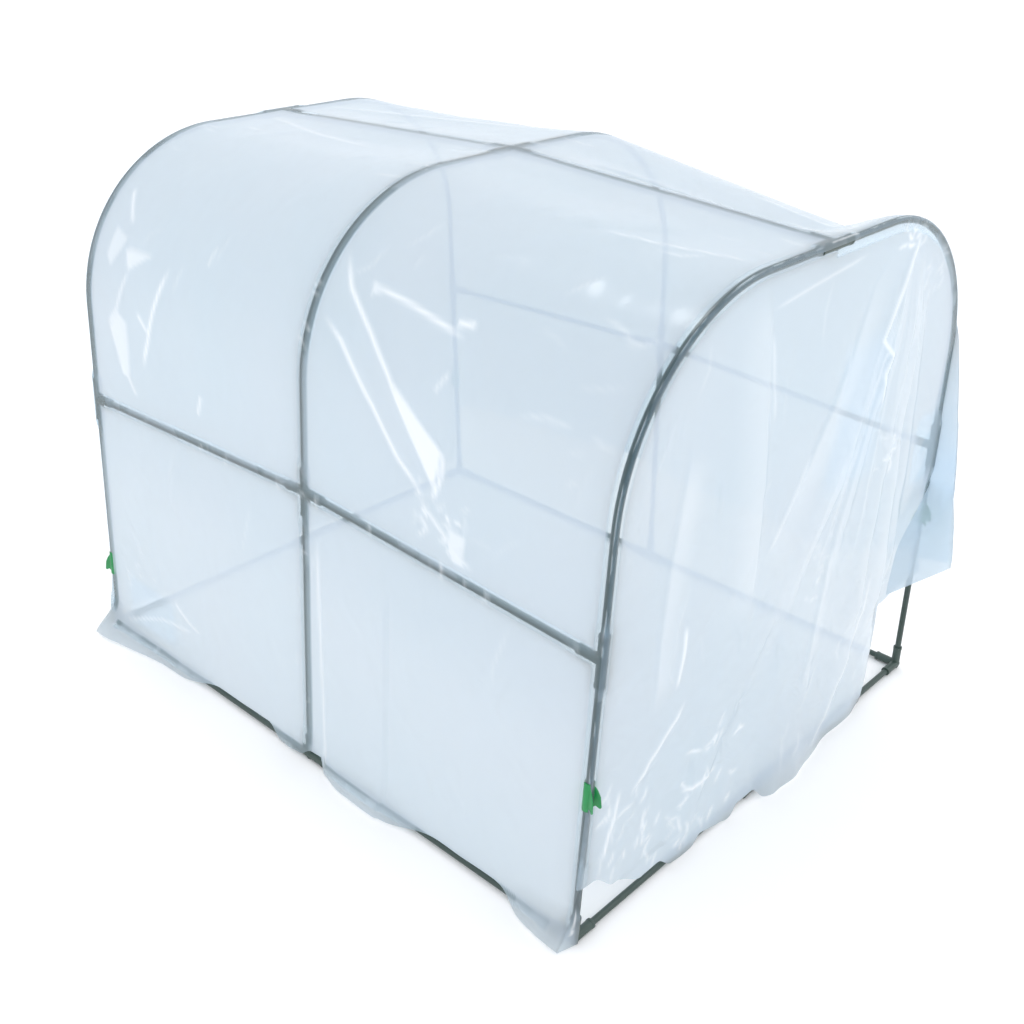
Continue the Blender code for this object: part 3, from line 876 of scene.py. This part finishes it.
def front_hem(x):
    """Height of the front curtain's hem."""
    points = [(-0.5, 0.112), (-0.46, 0.106), (-0.4, 0.062), (-0.335, 0.029), (-0.295, 0.029)]
    points += [(-0.26, 0.006), (-0.21, 0.005), (-0.184, 0.02), (-0.14, 0.012), (-0.11, 0.0035)]
    points += [(-0.085, 0.022), (-0.045, 0.024), (-0.022, 0.0035), (0.33, 0.0035), (0.352, 0.205)]
    points += [(0.4, 0.215), (0.5, 0.222)]
    return along_path(x, points)


def front_kick(x):
    """How far the foot of the front curtain stands forward on the ground."""
    points = [(-0.5, 0.0), (-0.32, 0.002), (-0.2, 0.008), (-0.05, 0.01), (0.0, 0.03), (0.05, 0.034)]
    points += [(0.11, 0.022), (0.19, 0.008), (0.27, 0.014), (0.335, 0.003), (0.5, 0.002)]
    return along_path(x, points)


def lowness(z):
    """0 at the ridge's height and 1 on the ground."""
    return np.clip((RIDGE_Z - z) / RIDGE_Z, 0, 1)


def front_relief(x, z):
    relief = Relief(x, z, 31)
    low = lowness(z)
    relief.sway(0.0075, 0.42, low**0.8)
    relief.sway(0.0016, 0.16, low)
    # A light band below the left shoulder, a painted highlight on a pleat, and folds that hang from the
    # gather on the right one
    relief.pleat([(-0.175, 0.935), (-0.161, 0.87), (-0.146, 0.798), (-0.118, 0.609), (-0.115, 0.38)],
                 0.085, 0.003, 0.2)
    relief.pleat([(0.206, 0.919), (0.132, 0.855), (0.093, 0.753), (0.018, 0.62), (-0.123, 0.44)],
                 -0.07, 0.003, 0.2, 0.45)
    relief.pleat([(0.215, 0.9), (0.175, 0.72), (0.117, 0.544), (0.026, 0.4), (-0.06, 0.23)],
                 0.06, 0.004, 0.22, 0.5)
    relief.pleat([(0.225, 0.9), (0.206, 0.72), (0.173, 0.609), (0.12, 0.4), (0.085, 0.12)],
                 -0.04, 0.0035, 0.18)
    relief.pleat([(0.262, 0.9), (0.298, 0.72), (0.298, 0.569), (0.308, 0.4), (0.325, 0.145), (0.365, 0.0)],
                 0.05, 0.006, 0.26)
    relief.pleat([(0.262, 0.88), (0.262, 0.64), (0.255, 0.4), (0.235, 0.15), (0.182, 0.02)],
                 0.038, 0.004, 0.2)
    relief.pleat([(0.3, 0.85), (0.34, 0.546), (0.34, 0.4), (0.345, 0.22)], 0.034, 0.003, 0.16)
    relief.pleat([(-0.3, 0.74), (-0.33, 0.56), (-0.345, 0.33)], -0.06, 0.003, 0.22)
    # Crisp creases
    relief.crease([(0.256, 0.918), (0.213, 0.836), (0.174, 0.76), (0.21, 0.728), (0.195, 0.7), (0.214, 0.63)],
                  0.0045, taper=0.1)
    relief.crease([(-0.16, 0.886), (-0.04, 0.899), (0.1, 0.912)], 0.002, white=0.4, glint=0.003)
    relief.crease([(-0.148, 0.86), (-0.108, 0.705)], 0.002, white=0.3)
    relief.crease([(0.24, 0.88), (0.16, 0.64), (0.1, 0.46)], 0.003, white=0.3)
    relief.crease([(0.013, 0.632), (-0.087, 0.482)], 0.002, white=0.4)
    relief.crease([(-0.278, 0.46), (-0.281, 0.405), (-0.293, 0.35)])
    relief.crease([(-0.262, 0.325), (-0.324, 0.261), (-0.385, 0.212)], 0.003)
    relief.crease([(-0.406, 0.245), (-0.442, 0.125)])
    relief.crease([(-0.25, 0.137), (-0.145, 0.129)], 0.002)
    relief.crease([(0.28, 0.331), (0.249, 0.172), (0.182, 0.048), (0.09, 0.019)], 0.0035, white=0.5)
    relief.facet([(0.217, 0.591), (0.287, 0.566), (0.27, 0.522)], 0.22)
    # Crumples: at the gather and along the hoop below it, and low down on the left
    relief.scatter((0.195, 0.895, 0.27, 0.93), 16, (0.012, 0.04), 0.002, 0.9, 0.2, 0.8)
    relief.scatter((0.29, 0.78, 0.36, 0.88), 16, (0.012, 0.045), 0.0015, 0.35, 0.6, 0.3)
    relief.scatter((-0.45, 0.085, -0.33, 0.26), 22, (0.02, 0.07), 0.0022, 0.7, 1.3, 0.6)
    relief.scatter((-0.35, 0.03, -0.22, 0.13), 20, (0.015, 0.05), 0.002, 0.7)
    relief.scatter((-0.25, 0.02, -0.09, 0.23), 26, (0.015, 0.06), 0.0022, 0.8)
    relief.scatter((0.06, 0.33, 0.11, 0.46), 16, (0.015, 0.03), 0.001, 0.35, 0.0, 0.2)
    relief.scatter((0.0, 0.04, 0.33, 0.26), 14, (0.03, 0.1), 0.002, 0.35, 1.1, 0.5)
    relief.scatter((-0.38, 0.3, 0.2, 0.86), 12, (0.06, 0.18), 0.001, 0.2, 1.5, 0.3)
    # Fine lines that fan out from the gather
    for foot in (-0.02, 0.06, 0.13, 0.2, 0.25, 0.31):
        bend = relief.rng.uniform(-0.015, 0.015)
        points = [(0.217 + 0.1 * foot, 0.895), (0.1363 + 0.42 * foot + bend, 0.62), (foot, 0.34)]
        relief.crease(points, 0.0022, 0.012, 0.22, 0.0032, 0.25)
    relief.scatter((0.232, 0.515, 0.282, 0.585), 12, (0.012, 0.04), 0.0018, 0.8)
    return relief


def darker_clearer_patches(x, z):
    """Where the front curtain is darker and clearer: a patch below the gather, and one by the right side
    rail.
    """
    below = window(x, 0.14, 0.11, 0.06) * window(z, 0.65, 0.17, 0.08)
    at_rail = window(x, 0.415, 0.06, 0.03) * window(z, 0.505, 0.08, 0.04)
    return np.maximum(0.2 * below, 0.45 * at_rail)


def back_hem(x):
    return 0.0035 + 0.006 * np.clip(np.sin(17 * x + 2), 0, 1) + 0.03 * smooth((x - 0.36) / 0.1)


def back_kick(x):
    return 0.014 + 0.01 * np.sin(11 * x)


def back_relief(x, z):
    relief = Relief(x, z, 43)
    low = lowness(z)
    relief.height += 0.003 * low
    relief.sway(0.0065, 0.36, low**0.8)
    folds = [(-0.2, -0.27, 0.06), (-0.13, -0.08, -0.05), (0.02, 0.03, 0.07)]
    folds += [(0.16, 0.22, 0.05), (0.24, 0.34, -0.05), (-0.24, -0.38, 0.04)]
    for top, foot, spread in folds:
        middle = (top + foot) / 2 + relief.rng.uniform(-0.02, 0.02)
        relief.pleat([(top, 0.9), (middle, 0.5), (foot, 0.03)], spread, 0.007, 0.12)
    relief.crease([(-0.26, 0.8), (-0.17, 0.66), (-0.15, 0.5)], 0.0025, white=0.45)
    relief.crease([(0.1, 0.86), (0.14, 0.62), (0.09, 0.44)], 0.0025, white=0.3)
    relief.scatter((-0.42, 0.03, 0.42, 0.26), 26, (0.02, 0.08), 0.0018, 0.35, 1.2, 0.8)
    relief.scatter((-0.3, 0.78, 0.3, 0.92), 14, (0.02, 0.07), 0.0012, 0.25, 0.8, 0.8)
    relief.scatter((-0.4, 0.25, 0.4, 0.85), 14, (0.06, 0.2), 0.001, 0.18, 1.5, 0.35)
    return relief


def curtain_points(face, relief_of, hem_of, kick_of):
    """An end's film as rows from the crown down and columns across, with its edges turned over the hoop."""
    last = along_at_height(LEFT_HEM)
    down = np.linspace(CROWN_LENGTH, last, round((last - CROWN_LENGTH) / CURTAIN_STEP))
    share = np.linspace(-1, 1, round(2 * HALF_WIDTH / CURTAIN_STEP))
    along, a = np.meshgrid(down, share, indexing="ij")
    edge_x, z, _, _ = hoop_line(along)
    x = a * edge_x
    hem = hem_of(x)
    z = np.where(z < HEM_ZONE, hem + (z - LEFT_HEM) * (HEM_ZONE - hem) / (HEM_ZONE - LEFT_HEM), z)
    relief = relief_of(x, z)
    inside = np.clip(arch_distance(x, z), 0, None)
    depth = relief.height * (1 - np.exp(-inside / 0.035))
    depth += kick_of(x) * (1 - smooth(z / KICK_HEIGHT)) ** 1.5
    depth = np.where(z < 0.06, np.maximum(depth, 0.0012), depth)
    hug = FILM_HUG + 0.0005 + (SOCKET_HUG - FILM_HUG) * near_socket(np.full_like(x, face * BAY), along)
    front = FILM_HUG + (hug - FILM_HUG) * np.exp(-inside / 0.02) + depth
    middle = np.stack([x, face * (BAY + front), z], -1)
    ex, _, nx, nz = hoop_line(down)

    def turned_edge(side):
        ez = middle[:, 0 if side < 0 else -1, 2]
        strips = []
        for turn in EDGE_TURNS:
            out, away = hug[:, 0] * math.cos(turn), hug[:, 0] * math.sin(turn)
            strips.append(np.stack([side * (ex + out * nx), face * (BAY + away), ez + out * nz], -1))
        return np.transpose(np.array(strips[::-1] if side < 0 else strips), (1, 0, 2))

    points = np.concatenate([turned_edge(-1), middle, turned_edge(1)], 1)
    seed, reach = (29, np.where(x < 0, 0.005, 0.014)) if face < 0 else (37, 0.009)
    touch = contact(x, z, seed) * (1 - smooth((inside - reach) / 0.004)) * (1 + 0.2 * (x > 0))
    if face < 0:
        touch = np.maximum(touch, darker_clearer_patches(x, z))
    sides = ((0, 0), (EDGE_STEPS, EDGE_STEPS))
    return points, np.pad(relief.white, sides, "edge"), np.pad(touch, sides, "edge")


def crown_strip(points, face):
    """The top edge of an end's film, turned over the crown of its hoop."""
    row = points[0, EDGE_STEPS:-EDGE_STEPS]
    hug = row[:, 1] * face - BAY
    rows = []
    for turn in EDGE_TURNS[::-1]:
        place = [row[:, 0], face * (BAY + hug * math.sin(turn)), RIDGE_Z + hug * math.cos(turn)]
        rows.append(np.stack(place, -1))
    rows.append(row)
    return np.array(rows)


def build_curtain(end, shape, material):
    node, face = f"{end}_curtain", OUTER_ENDS[end]
    points, white, touch = curtain_points(face, *shape)
    mesh = grid_mesh(points, white, touch, node)
    strip = crown_strip(points, face)
    plain = np.zeros(strip.shape[:2])
    form = bmesh.new()
    form.from_mesh(mesh)
    form.from_mesh(grid_mesh(strip, plain, plain + 1, node))
    bmesh.ops.remove_doubles(form, verts=form.verts, dist=0.00005)
    bmesh.ops.recalc_face_normals(form, faces=form.faces)
    form.to_mesh(mesh)
    form.free()
    mesh.shade_smooth()
    sheet = add_object(f"{node}_sheet", mesh, material)
    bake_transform(sheet)
    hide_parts(node)


# Materials


class Nodes:
    """Short calls for building a node tree, which give back its output sockets."""

    def __init__(self, tree):
        self.tree = tree
        tree.nodes.clear()

    def add(self, kind, settings=None, **inputs):
        """A node with these settings and inputs. A key such as i6 is an input's number."""
        node = self.tree.nodes.new(f"ShaderNode{kind}")
        for key, value in (settings or {}).items():
            setattr(node, key, value)
        for key, value in inputs.items():
            numbered = key[0] == "i" and key[1:].isdigit()
            socket = node.inputs[int(key[1:]) if numbered else key.replace("_", " ")]
            if isinstance(value, bpy.types.NodeSocket):
                self.tree.links.new(value, socket)
            else:
                socket.default_value = value
        return node.outputs

    def noise(self, scale, detail, roughness=0.5):
        spot = self.add("TexCoord")["Object"]
        return self.add("TexNoise", Vector=spot, Scale=scale, Detail=detail, Roughness=roughness)["Fac"]

    def span(self, value, low, high, full=1.0):
        """Goes from low to high as the value goes from 0 to full."""
        return self.add("MapRange", Value=value, From_Max=full, To_Min=low, To_Max=high)[0]

    def colour(self, share, first, second):
        return self.add("Mix", {"data_type": "RGBA"}, Factor=share, i6=first, i7=second)[2]

    def blend(self, share, first, second):
        return self.add("MixShader", i0=share, i1=first, i2=second)[0]


def new_material(name):
    material = bpy.data.materials.new(name)
    material.use_nodes = True
    return material, Nodes(material.node_tree)


def plastic(name, dark, light, rough, grain_scale, grain_depth):
    """Moulded or coated plastic: slight mottling, a fine grain, and a roughness that varies with both."""
    material, n = new_material(name)
    mottle = n.noise(38.0, 4.0, 0.6)
    colour = n.colour(mottle, (*dark, 1), (*light, 1))
    gloss = n.span(mottle, rough - 0.07, rough + 0.07)
    bump = n.add("Bump", Height=n.noise(grain_scale, 2.0), Strength=0.35, Distance=grain_depth)[0]
    shader = n.add("BsdfPrincipled", Base_Color=colour, Roughness=gloss, Normal=bump)[0]
    n.add("OutputMaterial", Surface=shader)
    return material


WHITE = (1.0, 1.0, 1.0, 1.0)
FILM_BLUE = (0.673, 0.772, 0.848, 1.0)
FILM_PALE = (0.722, 0.772, 0.843, 1.0)
FILM_ON_TUBE = (0.55, 0.73, 0.83, 1.0)
HAZE_LOOSE, HAZE_ON_TUBE, HAZE_WHERE_WHITE = 0.91, 0.27, 0.97

# A tube seen through loose film looks blue, because the haze scatters blue light most
SEEN_THROUGH_LOOSE = (1.0, 0.87, 0.55, 1.0)
SEEN_THROUGH_CLOSE = (0.86, 0.92, 0.95, 1.0)


def film_material():
    """Thin translucent film: clear, with a haze that lets light through, whiter and denser where it is
    creased and where highlights are painted on.
    """
    material, n = new_material("clear_film")
    white, touch = (n.add("Attribute", {"attribute_name": key})["Fac"] for key in ("white", "touch"))
    bump = n.add("Bump", Height=n.noise(26.0, 3.0), Strength=0.22, Distance=0.0012)[0]
    tint = n.colour(n.noise(3.2, 1.0), FILM_BLUE, FILM_PALE)
    # The white attribute turns the film white and dense: creased film, and painted highlights
    colour = n.colour(white, n.colour(touch, tint, FILM_ON_TUBE), WHITE)
    through = n.colour(n.span(touch, 0.0, 1.0, 0.2), SEEN_THROUGH_LOOSE, SEEN_THROUGH_CLOSE)
    density = n.span(white, n.span(touch, HAZE_LOOSE, HAZE_ON_TUBE), HAZE_WHERE_WHITE)
    clear = n.add("BsdfTransparent", Color=through)[0]
    face = n.add("BsdfPrincipled", Base_Color=colour, Roughness=0.25, Normal=bump)[0]
    glow = n.add("BsdfTranslucent", Color=colour)[0]
    body = n.blend(density, clear, n.blend(n.span(white, 0.93, 0.45), face, glow))
    shine = n.add("BsdfAnisotropic", Color=WHITE, Roughness=0.12, Normal=bump)[0]
    facing = n.add("LayerWeight", Blend=0.09, Normal=bump)["Facing"]
    n.add("OutputMaterial", Surface=n.blend(facing, body, shine))
    return material


# Studio


FLOOR_SIZE = 30
FLOOR_AT = -0.0002  # just below the lowest points, so that nothing lies in the same plane
FLOOR_COLOUR = (0.96, 0.945, 0.93, 1.0)
SKY_COLOUR = (0.95, 0.98, 1.03, 1.0)
SKY_AT_HORIZON = 1.28
SKY_OVERHEAD = 1.16

# Lamps: (name, azimuth, elevation, strength, spread), with angles in degrees
LAMPS = [("key", 215, 48, 0.13, 22), ("fill", 125, 42, 0.26, 26), ("top", 20, 68, 0.36, 24)]

CAMERA_PLACE = (-1.549, -1.421, 1.4325)
CAMERA_YAW, CAMERA_PITCH, CAMERA_ROLL = math.radians(47.86), math.radians(28.31), math.radians(1.38)
CAMERA_LENS = 44.72


def direction(azimuth, elevation):
    """A unit vector, with the azimuth turning from +Y to +X."""
    level = math.cos(elevation)
    return Vector((math.sin(azimuth) * level, math.cos(azimuth) * level, math.sin(elevation)))


def build_floor():
    material, n = new_material("floor")
    n.add("OutputMaterial", Surface=n.add("BsdfPrincipled", Base_Color=FLOOR_COLOUR, Roughness=0.9)[0])
    form = bmesh.new()
    bmesh.ops.create_grid(form, x_segments=8, y_segments=8, size=FLOOR_SIZE)
    floor = add_object("floor", finished_mesh(form, "floor"), material)
    floor.location.z = FLOOR_AT


def build_lights():
    world = bpy.data.worlds.new("studio")
    bpy.context.scene.world = world
    world.use_nodes = True
    n = Nodes(world.node_tree)
    way = n.add("TexCoord")["Generated"]
    strength = n.span(n.add("SeparateXYZ", i0=way)["Z"], SKY_AT_HORIZON, SKY_OVERHEAD, 0.8)
    n.add("OutputWorld", Surface=n.add("Background", Color=SKY_COLOUR, Strength=strength)[0])
    for name, azimuth, elevation, strength, spread in LAMPS:
        lamp = bpy.data.lights.new(name, "SUN")
        lamp.energy = strength
        lamp.angle = math.radians(spread)
        towards = direction(math.radians(azimuth), math.radians(elevation))
        new_object(name, lamp).rotation_euler = towards.to_track_quat("Z", "Y").to_euler()


def build_camera():
    camera = bpy.data.cameras.new("camera")
    camera.lens = CAMERA_LENS
    camera.sensor_width = 36.0
    forward = direction(CAMERA_YAW, -CAMERA_PITCH)
    level = Vector((math.cos(CAMERA_YAW), -math.sin(CAMERA_YAW), 0))
    right = level * math.cos(CAMERA_ROLL) + level.cross(forward) * math.sin(CAMERA_ROLL)
    turn = Matrix((right, right.cross(forward), -forward)).transposed().to_4x4()
    eye = new_object("camera", camera)
    eye.matrix_world = Matrix.Translation(CAMERA_PLACE) @ turn
    bpy.context.scene.camera = eye


def main():
    build_camera()
    build_floor()
    build_lights()
    tube = plastic("coated_tube", (0.026, 0.046, 0.038), (0.04, 0.066, 0.056), 0.36, 900, 0.00004)
    moulding = plastic("moulded_fitting", (0.034, 0.057, 0.047), (0.05, 0.078, 0.066), 0.46, 1400, 0.00006)
    clip = plastic("clip_plastic", (0.004, 0.2, 0.048), (0.007, 0.27, 0.07), 0.34, 1100, 0.00005)
    build_tubes(tube)
    build_fittings(moulding)
    build_clips(clip)
    film = film_material()
    build_cover(film)
    build_curtain("front", (front_relief, front_hem, front_kick), film)
    build_curtain("back", (back_relief, back_hem, back_kick), film)
    scene = bpy.context.scene
    scene.view_settings.view_transform = "Standard"
    scene.cycles.transparent_max_bounces = 32
    scene.cycles.max_bounces = 10
    scene.cycles.diffuse_bounces = 8


main()
